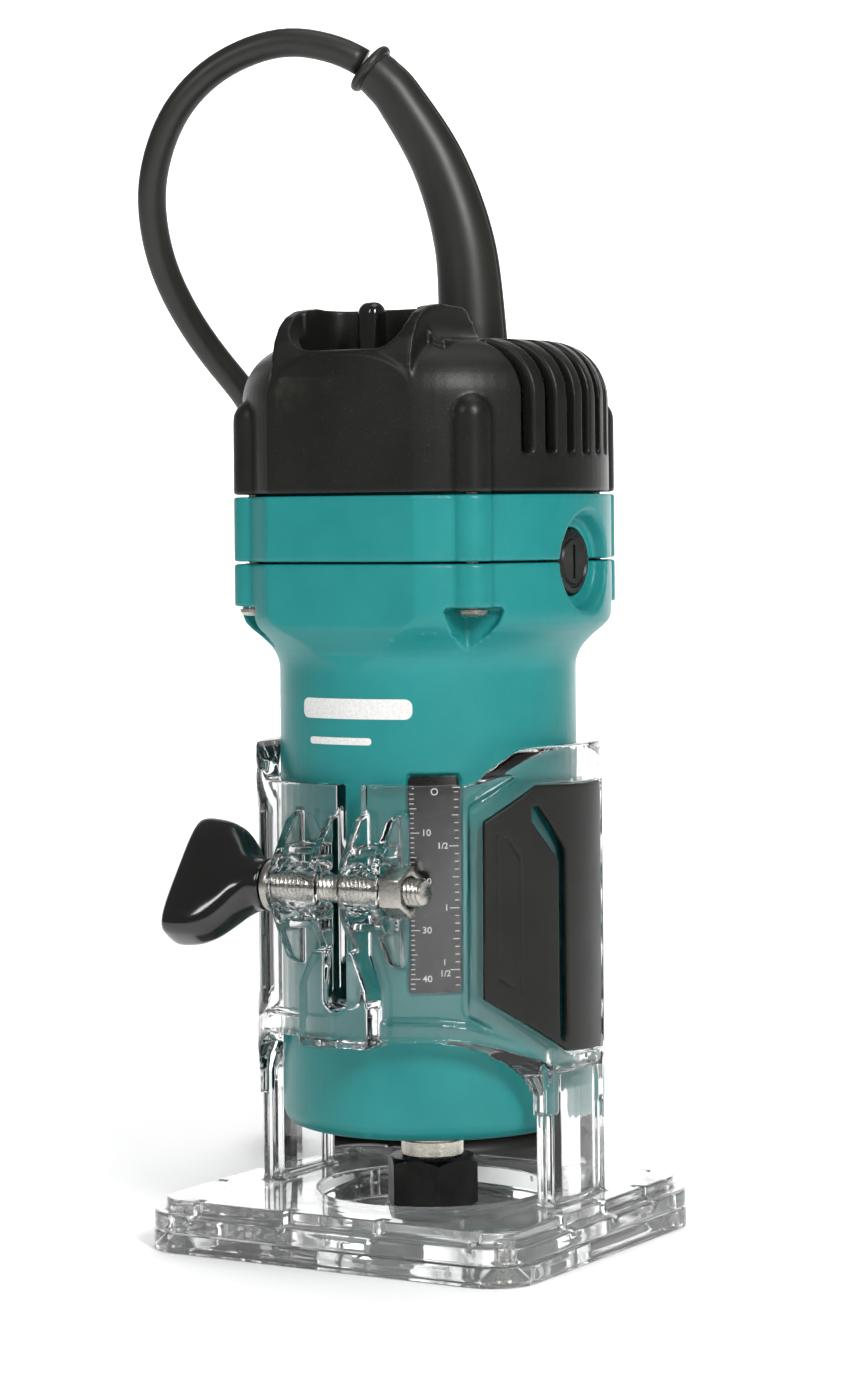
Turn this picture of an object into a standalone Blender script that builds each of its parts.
"""Laminate trimmer with a clear adjustable base, its motor and its mains cord.

Lengths are in millimetres about the spindle's axis until an object is placed, and
heights are measured from the underside of the base. The front is the side of the
base clamp (-Y), and the clamp knob is on the left (-X).
"""

import math

import bmesh
import bpy
from mathutils import Matrix, Vector

MM = 0.001
AXIS_X = 1.8
AXIS_Y = 4.94

# Base: plate, foot, sleeve and clamp.
FOOT_X = (-47.3, 43.7)
FOOT_Y = (-43.1, 41.0)
FOOT_CORNER = 10.0
PLATE_TOP = 3.8
FOOT_TOP = 10.5
FOOT_OPENING = 24.5
BIT_OPENING = 18.0
SLEEVE_INNER = 32.05
SLEEVE_OUTER = 36.0
SLEEVE_TOP = 106.0
SLEEVE_FRONT_TOP = 98.6
ARCH_TOP = 46.0
LEG_EDGE = 33.4
SLOT_X = (-0.7, 4.7)
CLAMP_Y = -40.2
CLAMP_Z = 77.8
EAR_LEFT = (-11.9, -0.7)
EAR_RIGHT = (4.7, 14.3)
GRIP_OUTER = 36.6
BASE_SCREWS = ((-40.0, -34.0), (36.4, -34.0), (-40.0, 32.0), (36.4, 32.0))

# Motor unit.
BARREL = 31.7
BARREL_BOTTOM = 24.7
BODY = 39.5
FACET = 35.2
CAVITY = 36.3
CAVITY_FACET = 32.6
SEAM_LOW = 144.2
SEAM_HIGH = 158.3
SEAM = 0.45
BOSS = 4.6
BOSS_CENTRE = 37.3
BOSS_ANGLES = (45.0, 135.0, 225.0, 315.0)
SCREW_SEAT = 134.9
COVER_TOP = 191.5
SHOULDER = 12.4
VENT_PITCH = 5.8
VENT_WIDTH = 2.6
VENT_BOTTOM = 166.5
BRUSH_Z = 143.9
LABEL = (23.0, 42.0, 55.9, 100.3)
GUARD = 7.5

# Spindle.
SHAFT = 4.0
CORE = 15.0
LEVER_PIVOT = (0.0, -21.5, 181.0)

# Cord: its loop stands in a plane turned about the spindle's axis.
CORD = 3.2
CORD_TURN = math.radians(30.8)
COIL_BACK = 114.0
COIL_MEAN = 32.0
COIL_HIGH = 4


# ---------------------------------------------------------------- tools


def clear_scene():
    for thing in list(bpy.data.objects):
        bpy.data.objects.remove(thing, do_unlink=True)


def material(name, colour, roughness, metallic=0.0, transmission=0.0):
    made = bpy.data.materials.get(name)
    if made:
        return made
    made = bpy.data.materials.new(name)
    made.use_nodes = True
    shader = made.node_tree.nodes["Principled BSDF"]
    shader.inputs["Base Color"].default_value = (*colour, 1.0)
    shader.inputs["Roughness"].default_value = roughness
    shader.inputs["Metallic"].default_value = metallic
    shader.inputs["Transmission Weight"].default_value = transmission
    made.diffuse_color = (*colour, 1.0)
    return made


def faced_outward(shape):
    bmesh.ops.recalc_face_normals(shape, faces=shape.faces[:])
    if shape.calc_volume(signed=True) < 0:
        bmesh.ops.reverse_faces(shape, faces=shape.faces[:])
    return shape


def turned(profile, steps=48, closed=True):
    """A profile of (radius, height) turned about the Z axis."""
    shape = bmesh.new()
    points = [shape.verts.new((r, 0.0, z)) for r, z in profile]
    pairs = list(zip(points, points[1:]))
    if closed:
        pairs.append((points[-1], points[0]))
    edges = [shape.edges.new(pair) for pair in pairs]
    bmesh.ops.spin(
        shape, geom=points + edges, cent=(0, 0, 0), axis=(0, 0, 1), dvec=(0, 0, 0),
        angle=math.tau, steps=steps, use_duplicate=False,
    )
    bmesh.ops.remove_doubles(shape, verts=shape.verts[:], dist=1e-4)
    return faced_outward(shape)


def prism(outline, low, high, axis="Z"):
    """An outline pushed from low to high: (x, y) along Z, (y, z) along X, (x, z) along Y."""
    place = {
        "Z": lambda u, v: (u, v, low),
        "X": lambda u, v: (low, u, v),
        "Y": lambda u, v: (u, low, v),
    }[axis]
    push = {"Z": (0, 0, high - low), "X": (high - low, 0, 0), "Y": (0, high - low, 0)}[axis]
    shape = bmesh.new()
    face = shape.faces.new([shape.verts.new(place(u, v)) for u, v in outline])
    grown = bmesh.ops.extrude_face_region(shape, geom=[face])
    tops = [item for item in grown["geom"] if isinstance(item, bmesh.types.BMVert)]
    bmesh.ops.translate(shape, verts=tops, vec=push)
    return faced_outward(shape)


def block(x, y, z):
    return prism([(x[0], y[0]), (x[1], y[0]), (x[1], y[1]), (x[0], y[1])], z[0], z[1])


def ring_points(radius, steps, centre=(0.0, 0.0), start=0.0):
    turn = math.tau / steps
    return [
        (centre[0] + radius * math.cos(start + turn * i), centre[1] + radius * math.sin(start + turn * i))
        for i in range(steps)
    ]


def rod(radius, centre, low, high, axis="Z", steps=24):
    return prism(ring_points(radius, steps, centre), low, high, axis)


def rounded_rectangle(x, y, radius, steps=5):
    corners = (
        (x[1] - radius, y[1] - radius, 0.0),
        (x[0] + radius, y[1] - radius, 90.0),
        (x[0] + radius, y[0] + radius, 180.0),
        (x[1] - radius, y[0] + radius, 270.0),
    )
    outline = []
    for cx, cy, start in corners:
        for i in range(steps + 1):
            angle = math.radians(start + 90.0 * i / steps)
            outline.append((cx + radius * math.cos(angle), cy + radius * math.sin(angle)))
    return outline


def wrapped(outline, inner, outer, step=5.0):
    """An outline of (degrees round from the front, height), bent round the spindle's axis."""
    shape = prism(outline, inner, outer)
    low = min(turn for turn, _ in outline)
    high = max(turn for turn, _ in outline)
    count = max(1, round((high - low) / step))
    for i in range(1, count):
        turn = low + (high - low) * i / count
        geometry = shape.verts[:] + shape.edges[:] + shape.faces[:]
        bmesh.ops.bisect_plane(shape, geom=geometry, dist=1e-4, plane_co=(turn, 0, 0), plane_no=(1, 0, 0))
    for vert in shape.verts:
        turn = math.radians(vert.co.x)
        radius = vert.co.z
        vert.co = (radius * math.sin(turn), -radius * math.cos(turn), vert.co.y)
    return faced_outward(shape)


def lofted(rings):
    """A skin over rings of points, with its two ends closed."""
    shape = bmesh.new()
    rows = [[shape.verts.new(point) for point in ring] for ring in rings]
    for low, high in zip(rows, rows[1:]):
        for i in range(len(low)):
            j = (i + 1) % len(low)
            shape.faces.new((low[i], low[j], high[j], high[i]))
    shape.faces.new(rows[0][::-1])
    shape.faces.new(rows[-1])
    return faced_outward(shape)


def softened(shape, width, picks, segments=2):
    """The shape with the edges that picks() chooses rounded."""
    shape.edges.ensure_lookup_table()
    edges = [edge for edge in shape.edges if picks(edge)]
    bmesh.ops.bevel(shape, geom=edges, offset=width, segments=segments, profile=0.5, affect="EDGES")
    return shape


def moved(shape, x=0.0, y=0.0, z=0.0):
    bmesh.ops.translate(shape, verts=shape.verts[:], vec=(x, y, z))
    return shape


def rotated(shape, degrees, axis="Z"):
    turn = Matrix.Rotation(math.radians(degrees), 3, axis)
    bmesh.ops.rotate(shape, verts=shape.verts[:], cent=(0, 0, 0), matrix=turn)
    return shape


def temporary(shape, name):
    mesh = bpy.data.meshes.new(name)
    shape.to_mesh(mesh)
    thing = bpy.data.objects.new(name, mesh)
    bpy.context.scene.collection.objects.link(thing)
    return thing


def combined(body, tool, operation):
    """The body after one exact Boolean with the tool; both shapes are used up."""
    first, second = temporary(body, "body"), temporary(tool, "tool")
    change = first.modifiers.new("change", "BOOLEAN")
    change.operation = operation
    change.solver = "EXACT"
    change.object = second
    graph = bpy.context.evaluated_depsgraph_get()
    result = bpy.data.meshes.new_from_object(first.evaluated_get(graph))
    shape = bmesh.new()
    shape.from_mesh(result)
    for thing in (first, second):
        mesh = thing.data
        bpy.data.objects.remove(thing, do_unlink=True)
        bpy.data.meshes.remove(mesh)
    bpy.data.meshes.remove(result)
    body.free()
    tool.free()
    return shape


def joined(body, *tools):
    for tool in tools:
        body = combined(body, tool, "UNION")
    return body


def cut(body, *tools):
    for tool in tools:
        body = combined(body, tool, "DIFFERENCE")
    return body


def place(name, shape, look, pivot=(0.0, 0.0, 0.0), sharp=35.0):
    """Turns a shape into the object of one part, with its origin at the pivot."""
    bmesh.ops.remove_doubles(shape, verts=shape.verts[:], dist=2e-4)
    bmesh.ops.dissolve_degenerate(shape, edges=shape.edges[:], dist=1e-4)
    flat = math.radians(0.4)
    bmesh.ops.dissolve_limit(shape, angle_limit=flat, verts=shape.verts[:], edges=shape.edges[:])
    bmesh.ops.translate(shape, verts=shape.verts[:], vec=-Vector(pivot))
    bmesh.ops.scale(shape, verts=shape.verts[:], vec=(MM, MM, MM))
    mesh = bpy.data.meshes.new(name)
    shape.to_mesh(mesh)
    shape.free()
    mesh.materials.append(look)
    mesh.shade_smooth()
    mesh.set_sharp_from_angle(angle=math.radians(sharp))
    thing = bpy.data.objects.new(name, mesh)
    thing.location = ((pivot[0] + AXIS_X) * MM, (pivot[1] + AXIS_Y) * MM, pivot[2] * MM)
    bpy.context.scene.collection.objects.link(thing)
    return thing


def at_angle(radius, degrees):
    angle = math.radians(degrees)
    return radius * math.cos(angle), radius * math.sin(angle)


# ---------------------------------------------------------------- materials


def clear_plastic():
    return material("clear_acrylic", (0.92, 0.95, 0.95), 0.05, transmission=0.9)


def teal_plastic():
    return material("teal_abs", (0.012, 0.27, 0.29), 0.42)


def black_plastic():
    return material("black_nylon", (0.022, 0.022, 0.020), 0.5)


def gloss_plastic():
    return material("gloss_black_plastic", (0.008, 0.008, 0.008), 0.15)


def rubber():
    return material("black_rubber", (0.02, 0.02, 0.019), 0.65)


def steel():
    return material("bright_steel", (0.62, 0.6, 0.56), 0.28, 1.0)


def black_steel():
    return material("blackened_steel", (0.03, 0.03, 0.03), 0.35, 0.9)


def brass():
    return material("brass", (0.72, 0.5, 0.2), 0.3, 1.0)


def copper():
    return material("enamelled_copper", (0.5, 0.17, 0.06), 0.35, 0.8)


def laminations():
    return material("lamination_steel", (0.25, 0.25, 0.26), 0.45, 1.0)


def carbon():
    return material("carbon", (0.03, 0.03, 0.03), 0.7)


def label_ink():
    return material("label_film", (0.02, 0.02, 0.02), 0.3)


# ---------------------------------------------------------------- base


def base_plate():
    shape = prism(rounded_rectangle(FOOT_X, FOOT_Y, FOOT_CORNER), 0.0, PLATE_TOP)
    shape = softened(shape, 0.5, lambda edge: is_rim(edge), 1)
    shape = cut(shape, rod(BIT_OPENING, (0, 0), -1.0, PLATE_TOP + 1.0, steps=32))
    for x, y in BASE_SCREWS:
        hole = turned([(0, -1), (4.1, -1), (4.1, 0.4), (2.0, 2.6), (2.0, 5.0), (0, 5.0)], 10, False)
        shape = cut(shape, moved(hole, x, y))
    place("base_plate", shape, clear_plastic())


def is_rim(edge):
    """Whether an edge lies flat and on the outline of a flat plate."""
    low, high = edge.verts
    return abs(low.co.z - high.co.z) < 1e-6


def base_foot():
    """The foot under the legs: a rounded slab with a grooved edge and a round opening."""
    inset_x = (FOOT_X[0] + 0.1, FOOT_X[1] - 0.1)
    inset_y = (FOOT_Y[0] + 0.1, FOOT_Y[1] - 0.1)
    low = PLATE_TOP + 0.3
    shape = prism(rounded_rectangle(inset_x, inset_y, FOOT_CORNER), low, FOOT_TOP)
    shape = softened(shape, 2.6, lambda edge: is_rim(edge) and edge.verts[0].co.z > low + 1, 2)
    shape = cut(shape, rod(FOOT_OPENING, (0, 0), low - 1, FOOT_TOP + 1, steps=36))
    for x in (-33.6, -11.2, 11.2, 33.6):
        for low_y, high_y in ((FOOT_Y[0] - 1, FOOT_Y[0] + 4.5), (FOOT_Y[1] - 4.5, FOOT_Y[1] + 1)):
            shape = cut(shape, block((x - 0.5, x + 0.5), (low_y, high_y), (7.2, 12)))
    for y in (-17.0, 1.0, 19.0):
        for low_x, high_x in ((FOOT_X[0] - 1, FOOT_X[0] + 4.5), (FOOT_X[1] - 4.5, FOOT_X[1] + 1)):
            shape = cut(shape, block((low_x, high_x), (y - 0.5, y + 0.5), (7.2, 12)))
    return shape


def arch_outline():
    """The window between the legs: straight sides, then a low arch."""
    reach, drop = LEG_EDGE, FOOT_TOP + 0.0
    side = [(reach, 34.2), (32.4, 38.0), (30.2, 41.2), (27.1, 43.6), (23.4, 45.2), (19.0, ARCH_TOP)]
    right = [(reach, drop)] + side
    return right + [(-x, z) for x, z in reversed(right)]


def top_outline():
    """What is cut away above the sleeve's front, with a ramp up to its sides."""
    low, high = SLEEVE_FRONT_TOP, SLEEVE_TOP
    right = [(23.6, low), (25.2, low + 0.35), (31.4, high - 1.1), (32.8, high - 0.3), (34.4, high)]
    right.append((34.4, high + 9))
    return right + [(-x, z) for x, z in reversed(right)]


def clamp_ear(x):
    """A lug beside the slot: two webs and two ribs round a bored boss."""
    y, z = CLAMP_Y, CLAMP_Z
    web = [
        (-31.0, z - 16.3), (-36.0, z - 16.3), (y - 4.0, z - 5.4), (y - 4.4, z),
        (y - 4.0, z + 5.4), (-36.0, z + 14.9), (-31.0, z + 14.9),
    ]
    boss = rod(5.2, (y, z), x[0] - 0.05, x[1] + 0.05, "X", 18)
    ear = joined(
        boss,
        prism(web, x[0], x[0] + 2.2, "X"),
        prism(web, x[1] - 2.2, x[1], "X"),
        block((x[0] + 1, x[1] - 1), (-41.5, -32.0), (z + 6.6, z + 8.6)),
        block((x[0] + 1, x[1] - 1), (-41.5, -32.0), (z - 8.6, z - 6.6)),
    )
    return ear


def base_housing():
    """The clear moulding: foot, legs, split sleeve and the two clamp ears."""
    rim = 0.9
    wall = [
        (SLEEVE_INNER, 6.0), (SLEEVE_OUTER, 6.0), (SLEEVE_OUTER, SLEEVE_TOP - rim),
        (SLEEVE_OUTER - rim, SLEEVE_TOP), (SLEEVE_INNER + rim, SLEEVE_TOP), (SLEEVE_INNER, SLEEVE_TOP - rim),
    ]
    shape = turned(wall, 48)
    shape = cut(shape, prism(arch_outline(), -50, 50, "Y"))
    shape = cut(shape, prism(top_outline(), -50, 50, "Y"))
    cheek_outline = [
        (-6.9, 45.8), (-6.3, 45.2), (8.8, 45.2), (9.4, 45.8), (9.4, 57.0), (6.2, 65.0), (-3.6, 65.0), (-6.9, 58.0),
    ]
    cheek = prism(cheek_outline, -41.8, -30.0, "Y")
    front = joined(cheek, clamp_ear(EAR_LEFT), clamp_ear(EAR_RIGHT))
    shape = joined(shape, cut(front, rod(SLEEVE_INNER + 1.2, (0, 0), 12, 110, steps=32)))
    middle = sum(SLOT_X) / 2
    notch = rod(2.75, (middle, 55.4), -50, -20, "Y", 16)
    shape = cut(shape, notch, block(SLOT_X, (-50, -20), (55.4, 120)))
    shape = cut(shape, rod(3.35, (CLAMP_Y, CLAMP_Z), -20, 30, "X", 16))
    shape = joined(shape, base_foot())
    for x, y in BASE_SCREWS:
        shape = cut(shape, rod(1.8, (x, y), 2.0, 8.6, steps=8))
    for side in (1, -1):
        shape = cut(shape, grip_shape(side, 35.0, 38.0, 0.35))
    place("base_housing", shape, clear_plastic())


def base_screw(number, centre):
    """A countersunk screw that holds the plate to the foot."""
    profile = [(0, 0.5), (3.6, 0.5), (3.6, 0.9), (1.45, 3.0), (1.45, 8.2), (0, 8.2)]
    shape = turned(profile, 10, False)
    slot = block((-2.6, 2.6), (-0.4, 0.4), (0.2, 1.3))
    shape = moved(cut(shape, slot), *centre)
    place(f"base_screw_{number}", shape, steel(), (*centre, 0.0))


def grip_outline(grow):
    """The grip's outline on the right side, as degrees from the front and heights."""
    spread = math.degrees(grow / 36.0)
    corners = [(48.2, 54.5), (82.0, 42.2), (110.0, 41.0), (113.0, 44.0), (119.0, 94.0),
               (116.0, 97.0), (68.5, 98.0), (48.6, 91.0)]
    middle, centre = 84.0, 70.0
    return [
        (turn + math.copysign(spread, turn - middle), z + math.copysign(grow, z - centre))
        for turn, z in corners
    ]


def groove_outline(grow):
    """The bent see-through groove in the grip."""
    spread = math.degrees(grow / 36.0)
    wide = 2.2 + spread
    return [
        (67.0 - spread, 92.6 + grow), (67.0 - spread, 89.6), (80.0 - wide, 82.2), (80.0 - wide, 46.5 - grow),
        (80.0 + wide, 46.0 - grow), (80.0 + wide, 85.0), (70.0, 92.8 + grow),
    ]


def grip_shape(side, inner, outer, grow):
    outline = [(side * turn, z) for turn, z in grip_outline(grow)]
    return wrapped(outline, inner, outer, 6.0)


def grip(name, side):
    """An elastomer pad let into the side of the sleeve."""
    shape = grip_shape(side, 35.35, GRIP_OUTER, 0.0)
    groove = wrapped([(side * turn, z) for turn, z in groove_outline(0.0)], 34.5, 38.0, 6.0)
    place(name, cut(shape, groove), rubber())


def clamp_screw():
    """The clamp's threaded rod, fixed in the knob."""
    shape = turned([(0, -19.0), (2.9, -19.0), (2.9, 22.2), (2.4, 22.9), (0, 22.9)], 20, False)
    shape = moved(rotated(shape, 90, "Y"), 0, CLAMP_Y, CLAMP_Z)
    place("clamp_screw", shape, steel(), (0.0, CLAMP_Y, CLAMP_Z))


def knob_ring(x, long, wide, lean, power, steps=20):
    ring = []
    for i in range(steps):
        angle = math.tau * i / steps
        c, s = math.cos(angle), math.sin(angle)
        a = long * math.copysign(abs(c) ** (2 / power), c)
        b = wide * math.copysign(abs(s) ** (2 / power), s)
        y = a * -math.sin(lean) + b * math.cos(lean)
        z = a * -math.cos(lean) - b * math.sin(lean)
        ring.append((x, CLAMP_Y + y, CLAMP_Z + z))
    return ring


def clamp_knob():
    """A wing knob: a round neck that spreads into a thick blade."""
    lean = math.radians(36.0)
    stations = (
        (-14.4, 5.0, 5.0, 2.0), (-14.8, 5.4, 5.4, 2.0), (-17.0, 5.6, 5.6, 2.0), (-19.2, 7.2, 5.6, 2.1),
        (-21.6, 9.9, 5.6, 2.3), (-24.2, 12.2, 5.5, 2.7), (-27.0, 13.4, 5.5, 3.3), (-29.5, 13.8, 5.5, 3.8),
        (-32.6, 13.9, 5.5, 4.2), (-34.4, 13.6, 5.2, 4.2), (-35.2, 13.0, 4.6, 3.8), (-35.5, 12.2, 3.8, 3.6),
    )
    rings = [knob_ring(x, long, wide, lean, power) for x, long, wide, power in stations]
    shape = lofted(rings)
    socket = rod(3.2, (CLAMP_Y, CLAMP_Z), -19.4, -10.0, "X", 20)
    place("clamp_knob", cut(shape, socket), gloss_plastic(), (0.0, CLAMP_Y, CLAMP_Z))


def clamp_washer():
    shape = cut(rod(5.4, (CLAMP_Y, CLAMP_Z), -13.9, -12.25, "X"), rod(3.3, (CLAMP_Y, CLAMP_Z), -15, -11, "X", 20))
    place("clamp_washer", shape, steel(), (0.0, CLAMP_Y, CLAMP_Z))


def clamp_nut():
    centre = (CLAMP_Y, CLAMP_Z)
    shape = prism(ring_points(5.55, 6, centre, math.radians(30)), 14.7, 19.6, "X")
    shape = cut(shape, rod(3.2, centre, 10, 25, "X", 20))
    place("clamp_nut", shape, steel(), (0.0, CLAMP_Y, CLAMP_Z))


# ---------------------------------------------------------------- motor unit


def facets(shape, reach, low, high):
    """The shape with a flat across its front and one across its back."""
    front = block((-50, 50), (-60, -reach), (low, high))
    back = block((-50, 50), (reach, 60), (low, high))
    return cut(shape, front, back)


def inner_room(low, high):
    """The hollow of the upper body, clear of its facets and its four bosses."""
    room = facets(rod(CAVITY, (0, 0), low, high, steps=32), CAVITY_FACET, low - 1, high + 1)
    for angle in BOSS_ANGLES:
        room = cut(room, rod(BOSS + 0.9, at_angle(BOSS_CENTRE, angle), low - 1, high + 1, steps=12))
    return room


def trimmed(shape, low, high):
    """The part of a shape that lies between two heights."""
    return cut(shape, block((-60, 60), (-60, 60), (high, high + 60)), block((-60, 60), (-60, 60), (low - 60, low)))


def brush_boss(shape):
    """Adds the solid round each brush, then its open pocket and its bore."""
    for side in (1, -1):
        ends = sorted((side * 28.0, side * 37.6))
        shape = joined(shape, rod(12.2, (0.0, BRUSH_Z), *ends, "X", 24))
    for side in (1, -1):
        pocket = sorted((side * 35.3, side * 50.0))
        bore = sorted((side * 20.0, side * 40.0))
        shape = cut(shape, rod(10.25, (0.0, BRUSH_Z), *pocket, "X", 28))
        shape = cut(shape, rod(7.15, (0.0, BRUSH_Z), *bore, "X", 20))
    return shape


def motor_housing():
    """The teal barrel with its flare, bearing seat, bosses and screw channels."""
    top = SEAM_LOW - SEAM / 2
    profile = [
        (8.0, BARREL_BOTTOM), (27.6, BARREL_BOTTOM), (29.6, 25.2), (31.0, 26.5), (BARREL, 28.6),
        (BARREL, 122.0), (32.0, 124.0), (33.0, 126.2), (35.0, 128.4), (37.4, 130.0), (38.8, 131.2),
        (BODY, 133.0), (BODY, 160.0), (29.2, 160.0), (29.2, 29.0), (13.8, 29.0), (13.8, 36.0),
        (11.35, 36.0), (11.35, 28.2), (8.0, 28.2),
    ]
    shape = facets(turned(profile, 48), FACET, 126, 170)
    for angle in BOSS_ANGLES:
        shape = joined(shape, rod(BOSS, at_angle(BOSS_CENTRE, angle), 131.0, 161.0, steps=16))
    shape = cut(shape, inner_room(138.5, 165.0))
    shape = trimmed(brush_boss(shape), 0.0, top)
    for angle in BOSS_ANGLES:
        centre = at_angle(BOSS_CENTRE, angle)
        channel = rod(5.0, centre, 110.0, SCREW_SEAT, steps=16)
        shape = cut(shape, channel, rod(2.0, centre, SCREW_SEAT - 1, 150, steps=8))
    shape = cut(shape, label_body(30.75, 34.0, 0.45))
    place("motor_housing", shape, teal_plastic())


def label_body(inner, outer, grow):
    low_turn, high_turn, low, high = LABEL
    spread = math.degrees(grow / 31.0)
    turn = (low_turn - spread, high_turn + spread)
    outline = rounded_rectangle(turn, (low - grow, high + grow), 1.6, 3)
    return wrapped(outline, inner, outer, 4.8)


def depth_scale():
    place("depth_scale", label_body(31.1, 31.6, 0.0), label_ink())


def brush_ring():
    """The teal ring between the seams, which carries the brushes and the top bearing."""
    low, high = SEAM_LOW + SEAM / 2, SEAM_HIGH - SEAM / 2
    shape = facets(rod(BODY, (0, 0), 130, 170, steps=48), FACET, 120, 180)
    for angle in BOSS_ANGLES:
        shape = joined(shape, rod(BOSS, at_angle(BOSS_CENTRE, angle), 129, 171, steps=16))
    shape = cut(shape, inner_room(125, 175))
    shape = brush_boss(shape)
    bridge = block((-37.5, 37.5), (-6.5, 6.5), (153.4, 167.0))
    cup = rod(14.2, (0, 0), 151.0, 168.0, steps=24)
    shape = joined(shape, bridge, cup)
    shape = cut(shape, rod(11.9, (0, 0), 140.0, 175, steps=24))
    shape = trimmed(shape, low, high)
    for angle in BOSS_ANGLES:
        shape = cut(shape, rod(2.0, at_angle(BOSS_CENTRE, angle), low - 1, high + 1, steps=8))
    place("brush_ring", shape, teal_plastic())


def shell_profile(inset, steps):
    """The cover's outline at a distance inside its outer face."""
    radius = BODY - 0.4 - inset
    bend = SHOULDER - inset
    top = COVER_TOP - inset - 0.9
    points = [(radius, 140.0)]
    for i in range(steps + 1):
        angle = math.radians(90.0 * i / steps)
        points.append((radius - bend + bend * math.cos(angle), top - bend + bend * math.sin(angle)))
    points += [(radius - bend - 12.0, top + 0.7), (0.0, top + 0.9)]
    return points


def boss_rib(angle):
    """A half-round rib with a domed top, over one of the cover's screws."""
    low, top = 142.0, 178.8
    profile = [(0.0, low), (BOSS, low)]
    for i in range(4):
        turn = math.radians(30.0 * i)
        profile.append((BOSS * math.cos(turn), top - BOSS + BOSS * math.sin(turn)))
    shape = turned(profile, 14, False)
    return moved(shape, *at_angle(BOSS_CENTRE, angle))


def switch_block():
    """The raised block round the switch lever."""
    side = [
        (-34.7, 150.0), (-34.6, 183.0), (-33.9, 188.6), (-32.0, 192.6), (-29.0, 195.6), (-25.5, 197.2),
        (-21.0, 197.7), (-12.5, 197.3), (-10.4, 196.2), (-9.3, 194.2), (-8.6, 190.5), (-8.0, 150.0),
    ]
    shape = prism(side, -17.0, 17.0, "X")
    return softened(shape, 1.6, lambda edge: is_side_rim(edge) and edge.verts[0].co.z > 165, 2)


def is_side_rim(edge):
    """Whether an edge lies in one of the block's two end faces."""
    low, high = edge.verts
    return abs(low.co.x - high.co.x) < 1e-6


def rear_cover():
    """The black cover: a domed shell with vents, bosses and the switch recess."""
    outer = turned([(0.0, 140.0)] + shell_profile(0.0, 6), 48, False)
    outer = facets(outer, FACET - 0.3, 130, 210)
    for angle in BOSS_ANGLES:
        outer = joined(outer, boss_rib(angle))
    shape = joined(outer, switch_block())
    room = turned([(0.0, 140.0)] + shell_profile(2.6, 3), 32, False)
    room = facets(room, CAVITY_FACET - 0.4, 130, 200)
    for angle in BOSS_ANGLES:
        room = cut(room, rod(BOSS + 0.9, at_angle(BOSS_CENTRE, angle), 130, 180.5, steps=12))
    room = cut(room, block((-15.6, 15.6), (-45, -11.5), (181.2, 200)))
    shape = trimmed(cut(shape, room), SEAM_HIGH + SEAM / 2, 210)
    shape = cut(shape, switch_recess(), block((-3.4, 3.4), (-27.0, -16.0), (175, 186)))
    shape = cut(shape, vents(1), vents(-1))
    shape = cut(shape, rod(GUARD + 0.4, (0.0, 21.5), 180, 200, steps=20))
    for angle in BOSS_ANGLES:
        shape = cut(shape, rod(1.9, at_angle(BOSS_CENTRE, angle), 150, 170, steps=8))
    place("rear_cover", shape, black_plastic())


def switch_recess():
    """The finger recess in front of and behind the lever, open at its front edge."""
    pocket = prism(rounded_rectangle((-13.4, 13.4), (-32.0, -14.0), 5.0, 3), 183.6, 205.0)
    scoop = prism(rounded_rectangle((-13.4, 13.4), (188.4, 215.0), 3.0, 2), -40.0, -27.0, "Y")
    return joined(pocket, scoop)


def vents(side):
    """The comb of slots through one shoulder of the cover."""
    ends = sorted((side * 24.0, side * 45.0))
    comb = block(ends, (-3 * VENT_PITCH - VENT_WIDTH / 2, -3 * VENT_PITCH + VENT_WIDTH / 2), (VENT_BOTTOM, 199))
    for i in range(-2, 4):
        y = VENT_PITCH * i
        comb = joined(comb, block(ends, (y - VENT_WIDTH / 2, y + VENT_WIDTH / 2), (VENT_BOTTOM, 199)))
    return comb


def housing_screw(number, angle):
    """A long screw from under the flare up into the cover."""
    centre = at_angle(BOSS_CENTRE, angle)
    profile = [(0, 132.4), (3.0, 132.4), (3.5, 133.0), (3.5, 134.5), (1.5, 134.5), (1.5, 168.0), (0, 168.0)]
    shape = turned(profile, 8, False)
    cross = [block((-2.0, 2.0), (-0.45, 0.45), (132.0, 133.4)), block((-0.45, 0.45), (-2.0, 2.0), (132.0, 133.4))]
    shape = moved(cut(shape, *cross), *centre)
    place(f"housing_screw_{number}", shape, steel(), (*centre, SCREW_SEAT))


def brush_cap(name, side):
    """A slotted cap that closes a brush's bore."""
    profile = [(0, 30.9), (6.8, 30.9), (6.8, 35.4), (6.3, 35.9), (0, 35.9)]
    shape = turned(profile, 20, False)
    shape = cut(shape, block((-3.9, 3.9), (-0.5, 0.5), (34.7, 37)))
    shape = moved(rotated(shape, 90 * side, "Y"), 0, 0, BRUSH_Z)
    place(name, shape, black_plastic(), (side * 33.0, 0.0, BRUSH_Z))


def brush_holder(name, side):
    ends = sorted((side * 13.2, side * 30.6))
    shape = cut(rod(6.7, (0, BRUSH_Z), *ends, "X", 20), rod(4.9, (0, BRUSH_Z), -40, 40, "X", 20))
    place(name, shape, brass(), (side * 22.0, 0.0, BRUSH_Z))


def carbon_brush(name, side):
    ends = sorted((side * 11.4, side * 22.0))
    place(name, block(ends, (-3.2, 3.2), (BRUSH_Z - 3.2, BRUSH_Z + 3.2)), carbon(), (side * 11.4, 0.0, BRUSH_Z))


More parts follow.
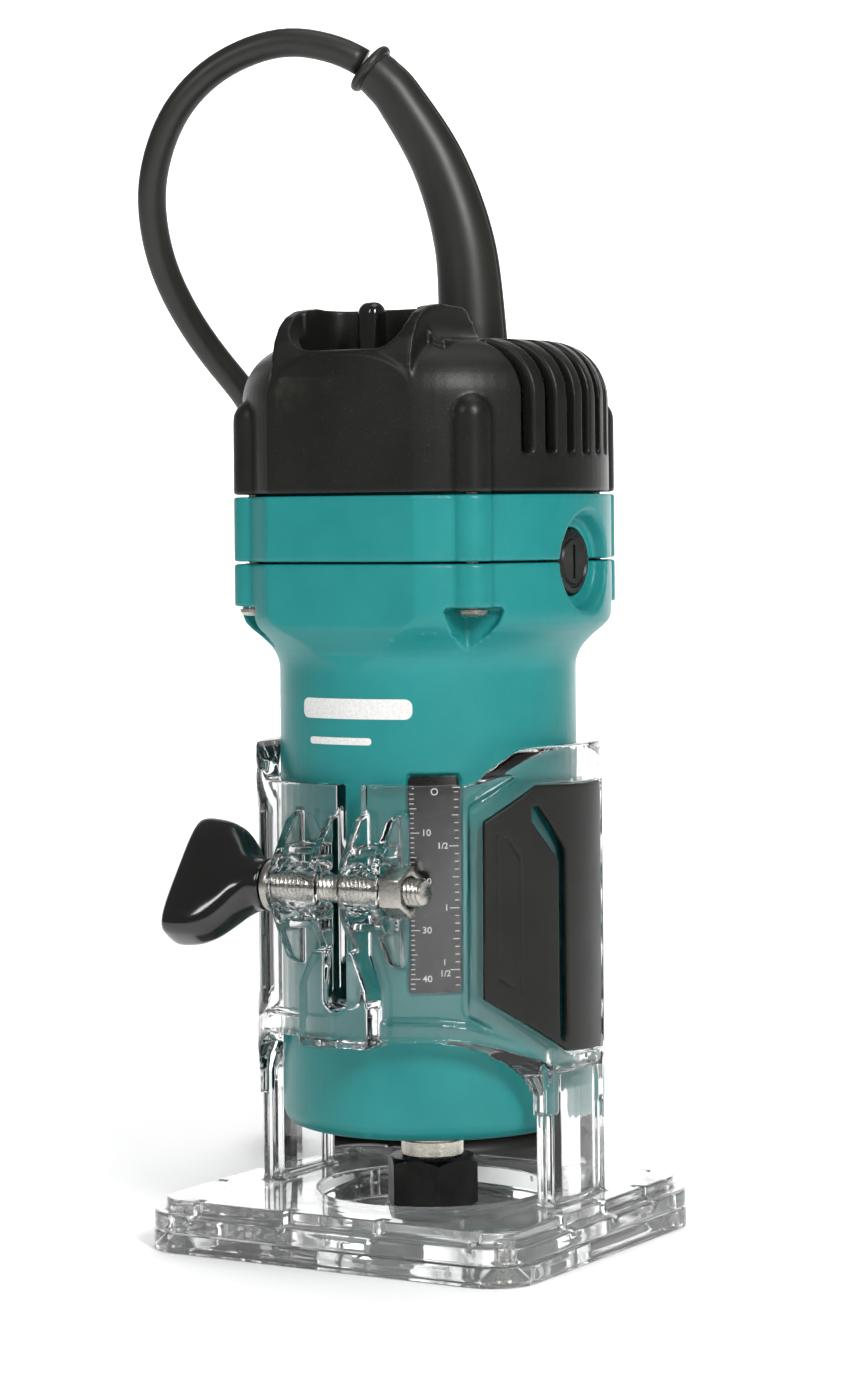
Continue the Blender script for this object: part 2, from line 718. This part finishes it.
def brush_spring(name, side):
    """A compression spring behind a brush, wound along X."""
    turns, per_turn, radius, wire = 3, 8, 3.2, 0.4
    low, high = 22.5, 30.2
    rings = []
    for i in range(turns * per_turn + 1):
        angle = math.tau * i / per_turn
        x = low + (high - low) * i / (turns * per_turn)
        out = Vector((0.0, math.cos(angle), math.sin(angle)))
        centre = Vector((x, 0.0, BRUSH_Z)) + out * radius
        corners = []
        for k in range(4):
            around = math.tau * k / 4
            corners.append(centre + out * wire * math.cos(around) + Vector((wire * math.sin(around), 0, 0)))
        rings.append([(side * point.x, point.y, point.z) for point in corners])
    place(name, lofted(rings), steel(), (side * low, 0.0, BRUSH_Z))


def stator_core():
    """The laminated field ring with its two poles."""
    yoke = cut(rod(28.4, (0, 0), 62, 106, steps=32), rod(24.2, (0, 0), 60, 108, steps=24))
    for side in (1, -1):
        pole = block((-11.4, 11.4), tuple(sorted((side * 13.0, side * 26.0))), (62, 106))
        yoke = joined(yoke, pole)
    yoke = cut(yoke, rod(CORE + 0.6, (0, 0), 60, 108, steps=32))
    place("stator_core", yoke, laminations())


def field_coil(name, side):
    """A winding round one pole."""
    ends = sorted((side * 14.2, side * 18.2))
    outer = prism(rounded_rectangle((-15.0, 15.0), (57.4, 110.6), 3.0, 2), *ends, "Y")
    inner = prism(rounded_rectangle((-11.8, 11.8), (61.6, 106.4), 0.3, 1), -40, 40, "Y")
    place(name, cut(outer, inner), copper(), (0.0, side * 16.2, 84.0))


def bearing(name, inner, outer, low, high):
    profile = [(inner, low), (outer, low), (outer, high), (inner, high)]
    place(name, turned(profile, 20), steel(), (0.0, 0.0, (low + high) / 2))


def bearing_sleeve():
    shape = turned([(9.85, 151.4), (11.55, 151.4), (11.55, 157.8), (9.85, 157.8)], 18)
    place("bearing_sleeve", shape, rubber())


def baffle():
    """The ring that guides the fan's air."""
    shape = turned([(18.0, 51.0), (28.7, 51.0), (28.7, 53.0), (18.0, 53.0)], 20)
    place("air_baffle", shape, black_plastic())


def fan():
    """The cooling fan: a hub, a disc and curved blades in one moulding."""
    hub = turned([(SHAFT + 0.3, 38.0), (7.0, 38.0), (25.5, 38.0), (25.5, 39.6), (7.5, 40.4), (7.0, 47.0),
                  (SHAFT + 0.3, 47.0)], 24)
    count = 9
    for i in range(count):
        blade = []
        for k in range(4):
            blade.append((9.5 + 4.6 * k, 0.55 + 1.1 * k * k / 3))
        for k in reversed(range(4)):
            blade.append((9.5 + 4.6 * k, -0.55 + 1.1 * k * k / 3))
        hub = joined(hub, rotated(prism(blade, 39.2, 47.5), 360.0 * i / count))
    place("cooling_fan", hub, black_plastic())


def spindle():
    """The steel shaft, from the collet seat up to the top bearing."""
    profile = [
        (0.0, 24.0), (4.7, 22.6), (4.7, 11.4), (5.4, 9.4), (5.9, 9.4), (5.9, 17.0), (6.65, 17.6),
        (6.65, 27.6), (SHAFT, 27.9), (SHAFT, 158.6), (3.4, 159.2), (0.0, 159.2),
    ]
    shape = turned(profile, 20, False)
    place("armature_shaft", shape, steel())


def armature_core():
    """The rotor's stack, with slots for its windings."""
    count, outline = 12, []
    for i in range(count):
        start = 360.0 * i / count
        outline += [at_angle(CORE, start + turn) for turn in (-11, 0, 11)]
        outline += [at_angle(8.5, start + turn) for turn in (9.5, 20.5)]
    shape = cut(prism(outline, 63, 105), rod(SHAFT + 0.3, (0, 0), 60, 110, steps=24))
    place("armature_core", shape, laminations())


def end_winding(name, low, high, narrow):
    wide = CORE - 1.2
    profile = [(5.0, low), (wide - 2 * (narrow < 0), low), (wide, (low + high) / 2),
               (wide - 2 * (narrow > 0), high), (5.0, high)]
    place(name, turned(profile, 16), copper())


def commutator():
    """Copper bars with insulating gaps between them."""
    count, outline = 14, []
    for i in range(count):
        start = 360.0 * i / count
        outline += [at_angle(11.0, start + turn) for turn in (-10.6, 10.6)]
        outline.append(at_angle(10.0, start + 180.0 / count))
    shape = cut(prism(outline, 136.6, 150.6), rod(SHAFT + 0.3, (0, 0), 130, 155, steps=24))
    place("commutator", shape, copper())


def collet_nut():
    """The black hexagonal nut that closes the collet."""
    across = 9.0 / math.cos(math.pi / 6)
    shape = prism(ring_points(across, 6, start=math.radians(8.0)), 5.0, 19.0)
    low = turned([(0, 17.0), (8.8, 17.0), (10.6, 15.6), (10.6, 7.8), (8.8, 6.4), (0, 6.4)], 24, False)
    shape = combined(shape, low, "INTERSECT")
    shape = cut(shape, rod(6.3, (0, 0), 8.6, 20.0, steps=20), rod(5.75, (0, 0), 0.0, 12.0, steps=20))
    place("collet_nut", shape, black_steel())


def collet_cone():
    """The split collet that grips the bit's shank."""
    body = turned([(3.05, 5.0), (5.3, 5.0), (5.3, 8.0), (4.3, 10.2), (4.3, 21.5), (3.05, 21.5)], 18)
    for i in range(3):
        slit = rotated(block((2.0, 7.0), (-0.3, 0.3), (4.0, 15.0)), 120.0 * i)
        body = cut(body, slit)
    place("collet_cone", body, steel())


def switch_lever():
    """The toggle: a flat blade with a round head, on its pin's axis."""
    y, z = LEVER_PIVOT[1], LEVER_PIVOT[2]
    outline = []
    for i in range(9):
        angle = math.pi * i / 8
        outline.append((y + 2.6 * math.cos(angle), 196.0 + 2.6 * math.sin(angle)))
    for i in range(9):
        angle = math.pi + math.pi * i / 8
        outline.append((y + 3.2 * math.cos(angle), z + 3.2 * math.sin(angle)))
    shape = prism(outline, -2.65, 2.65, "X")
    shape = softened(shape, 0.7, is_side_rim, 2)
    place("switch_lever", shape, gloss_plastic(), LEVER_PIVOT)


def switch_body():
    shape = block((-9.5, 9.5), (-31.0, -12.0), (161.5, 177.2))
    shape = softened(shape, 0.8, lambda edge: True, 1)
    place("switch_body", shape, black_plastic())


def capacitor():
    """The suppressor beside the switch."""
    shape = softened(block((-12, 12), (-4.0, 3.0), (161.0, 177.0)), 0.8, lambda edge: True, 1)
    place("suppressor", shape, material("yellow_film", (0.55, 0.42, 0.08), 0.4))


def cord_clamp():
    """The bar that pinches the cord below its guard."""
    shape = block((-12.0, 12.0), (16.5, 26.5), (176.0, 179.0))
    shape = cut(shape, rod(3.7, (0, 21.5), 170, 185, steps=14))
    for x in (-9.0, 9.0):
        shape = cut(shape, rod(1.6, (x, 21.5), 170, 185, steps=8))
    place("cord_clamp", shape, black_plastic())


def clamp_bar_screw(number, x):
    profile = [(0, 170.0), (1.2, 170.0), (1.2, 179.3), (2.6, 179.3), (2.6, 181.0), (0, 181.0)]
    place(f"cord_clamp_screw_{number}", moved(turned(profile, 8, False), x, 21.5), steel(), (x, 21.5, 179.3))


# ---------------------------------------------------------------- cord


def from_cord_plane(along, back, height):
    """A point of the cord's own plane: along it, behind the spindle, and up."""
    c, s = math.cos(CORD_TURN), math.sin(CORD_TURN)
    return Vector((c * along - s * back, s * along + c * back, height))


def smooth_route(points, spacing):
    """Points at even spacing along a smooth curve through the route's points."""
    ends = [points[0] * 2 - points[1], *points, points[-1] * 2 - points[-2]]
    dense = []
    for a, b, c, d in zip(ends, ends[1:], ends[2:], ends[3:]):
        for i in range(40):
            t = i / 40
            dense.append(
                0.5 * (2 * b + (c - a) * t + (2 * a - 5 * b + 4 * c - d) * t**2 + (3 * b - a - 3 * c + d) * t**3)
            )
    dense.append(points[-1])
    total = sum((q - p).length for p, q in zip(dense, dense[1:]))
    count = max(2, round(total / spacing))
    route, gone, goal = [dense[0]], 0.0, total / count
    for p, q in zip(dense, dense[1:]):
        step = (q - p).length
        while gone + step >= goal - 1e-9 and len(route) < count:
            route.append(p.lerp(q, (goal - gone) / step))
            goal += total / count
        gone += step
    route.append(dense[-1])
    return route


GUARD_ROUTE = (
    (11.0, 18.5, 186.0), (10.6, 18.5, 193.3), (9.0, 18.6, 212.9), (3.6, 19.2, 230.5), (-4.7, 20.2, 244.9),
    (-8.8, 20.6, 249.8), (-12.2, 21.0, 252.8),
)
LOOP_ROUTE = (
    (-13.0, 21.1, 253.45), (-17.3, 21.5, 256.0), (-30.3, 23.5, 258.6), (-44.8, 26.5, 253.8), (-55.0, 29.5, 244.0),
    (-60.2, 33.0, 230.8), (-60.6, 36.5, 219.7), (-58.1, 40.5, 208.5), (-52.7, 44.5, 197.5), (-46.3, 48.0, 188.3),
    (-40.2, 51.5, 180.5), (-33.5, 56.0, 166.0), (-28.5, 60.0, 145.0), (-25.0, 64.0, 118.0), (-23.0, 69.0, 90.0),
    (-22.0, 75.5, 64.0), (-22.8, 83.0, 44.0), (-26.5, 92.5, 31.2), (-28.3, 95.2, 29.4),
)


def tube(name, route, radius):
    """A round cord along a route, as a curve with filled ends."""
    curve = bpy.data.curves.new(name, "CURVE")
    curve.dimensions = "3D"
    curve.bevel_depth = radius * MM
    curve.bevel_resolution = 2
    curve.use_fill_caps = True
    spline = curve.splines.new("POLY")
    spline.points.add(len(route) - 1)
    for point, spot in zip(spline.points, route):
        point.co = (spot.x * MM, spot.y * MM, spot.z * MM, 1.0)
    curve.materials.append(rubber())
    thing = bpy.data.objects.new(name, curve)
    thing.location = (AXIS_X * MM, AXIS_Y * MM, 0.0)
    bpy.context.scene.collection.objects.link(thing)


def cord_guard():
    """The tapered sleeve round the cord where it leaves the cover, with a rolled end."""
    route = smooth_route([from_cord_plane(*spot) for spot in GUARD_ROUTE], 5.5)
    count = len(route)
    rings = []
    side = from_cord_plane(0.0, 1.0, 0.0)
    for i, spot in enumerate(route):
        ahead = (route[min(i + 1, count - 1)] - route[max(i - 1, 0)]).normalized()
        across = side.cross(ahead).normalized()
        over = ahead.cross(across)
        part = i / (count - 1)
        radius = 7.45 - 2.7 * max(0.0, part - 0.12) / 0.88
        if i == 0:
            radius = 7.45
        rings.append([spot + (across * math.cos(a) + over * math.sin(a)) * radius for a in turn_angles(14)])
    tip, ahead = route[-1], (route[-1] - route[-2]).normalized()
    across = side.cross(ahead).normalized()
    over = ahead.cross(across)
    for reach, radius in ((-2.4, 6.25), (-0.3, 6.25), (0.0, 4.9)):
        ring = [tip + ahead * reach + (across * math.cos(a) + over * math.sin(a)) * radius for a in turn_angles(14)]
        if reach == -2.4:
            rings.pop()
        rings.append(ring)
    shape = lofted(rings)
    flange = rod(10.0, (0.0, 21.5), 183.6, 186.4, steps=20)
    place("cord_guard", joined(shape, flange), rubber(), (0.0, 21.5, 186.0))


def turn_angles(count):
    return [math.tau * i / count for i in range(count)]


def cord_coil():
    """The rest of the cord, as the outer shape of its neat round coil."""
    middle = from_cord_plane(0.0, COIL_BACK, 0.0)
    high = 2 * CORD * COIL_HIGH
    wide = 2 * CORD
    profile = [(COIL_MEAN - wide, 0.0), (COIL_MEAN + wide, 0.0), (COIL_MEAN + wide, high), (COIL_MEAN - wide, high)]
    shape = moved(turned(profile, 32), middle.x, middle.y)
    place("cord_coil", shape, rubber(), (middle.x, middle.y, 0.0))


def cord_tail():
    """The cord's last length, from the top of the coil into the plug."""
    high = 2 * CORD * COIL_HIGH + 0.35
    centre = (-9.0, 2.0)
    spots = []
    for degrees, rise in ((-100, CORD), (-85, CORD + 0.3), (-65, 4.4), (-45, 5.6), (-25, 6.5), (-10, 7.0), (-1.2, 7.0)):
        angle = math.radians(degrees)
        along = centre[0] + 26.0 * math.cos(angle)
        back = COIL_BACK + centre[1] - 26.0 * math.sin(angle)
        spots.append(from_cord_plane(along, back, high + rise))
    tube("cord_tail", smooth_route(spots, 6.5), CORD)


def plug_section(reach, wide, high, power):
    """One cross-section of the plug, at a distance from where its cord goes in."""
    level = 2 * CORD * COIL_HIGH + 0.35 + 7.0
    ring = []
    for angle in turn_angles(20):
        c, s = math.cos(angle), math.sin(angle)
        along = 17.0 + wide * math.copysign(abs(c) ** (2 / power), c)
        up = level + high * math.copysign(abs(s) ** (2 / power), s)
        ring.append(from_cord_plane(along, COIL_BACK + 2.0 - reach, up))
    return ring


def plug():
    """A flat two-pin plug that lies on the coil."""
    stations = (
        (0.0, 4.3, 4.3, 2.0), (1.0, 4.7, 4.7, 2.0), (9.0, 5.6, 5.2, 2.2), (13.0, 9.0, 5.8, 2.6), (18.0, 14.6, 6.5, 3.2),
        (24.0, 17.0, 6.8, 4.0), (34.0, 17.4, 6.9, 4.0), (36.4, 17.2, 6.7, 4.0), (37.0, 16.6, 6.1, 4.0),
    )
    shape = lofted([plug_section(*station) for station in stations])
    place("plug_body", shape, rubber(), tuple(from_cord_plane(17.0, COIL_BACK - 16.0, 32.95)))


def plug_pin(name, side):
    level = 2 * CORD * COIL_HIGH + 0.35 + 7.0
    profile = [(0, 37.4), (2.0, 37.4), (2.0, 54.4), (1.4, 56.0), (0, 56.2)]
    shape = rotated(turned(profile, 16, False), 90, "X")
    shape = rotated(moved(shape, 17.0 + side * 9.3, COIL_BACK + 2.0, level), math.degrees(CORD_TURN))
    place(name, shape, steel(), tuple(from_cord_plane(17.0 + side * 9.3, COIL_BACK - 35.4, level)))


# ---------------------------------------------------------------- the whole


def build_base():
    base_plate()
    base_housing()
    for number, centre in enumerate(BASE_SCREWS, 1):
        base_screw(number, centre)
    grip("grip_right", 1)
    grip("grip_left", -1)
    clamp_screw()
    clamp_knob()
    clamp_washer()
    clamp_nut()


def build_motor():
    motor_housing()
    depth_scale()
    brush_ring()
    rear_cover()
    for number, angle in enumerate(BOSS_ANGLES, 1):
        housing_screw(number, angle)
    for side, word in ((1, "right"), (-1, "left")):
        brush_cap(f"brush_cap_{word}", side)
        brush_holder(f"brush_holder_{word}", side)
        carbon_brush(f"carbon_brush_{word}", side)
        brush_spring(f"brush_spring_{word}", side)
    stator_core()
    field_coil("field_coil_back", 1)
    field_coil("field_coil_front", -1)
    bearing("lower_bearing", SHAFT + 0.3, 11.0, 28.6, 35.6)
    bearing("upper_bearing", SHAFT + 0.3, 9.5, 151.6, 157.6)
    bearing_sleeve()
    baffle()
    switch_body()
    switch_lever()
    capacitor()
    cord_clamp()
    clamp_bar_screw(1, -9.0)
    clamp_bar_screw(2, 9.0)


def build_spindle():
    spindle()
    armature_core()
    end_winding("armature_winding_low", 56.0, 62.6, -1)
    end_winding("armature_winding_high", 105.4, 113.0, 1)
    commutator()
    fan()
    collet_nut()
    collet_cone()


def build_cord():
    cord_guard()
    tube("cord_run", smooth_route([from_cord_plane(*spot) for spot in LOOP_ROUTE], 8.0), CORD)
    cord_coil()
    cord_tail()
    plug()
    plug_pin("plug_pin_left", -1)
    plug_pin("plug_pin_right", 1)


clear_scene()
build_base()
build_motor()
build_spindle()
build_cord()
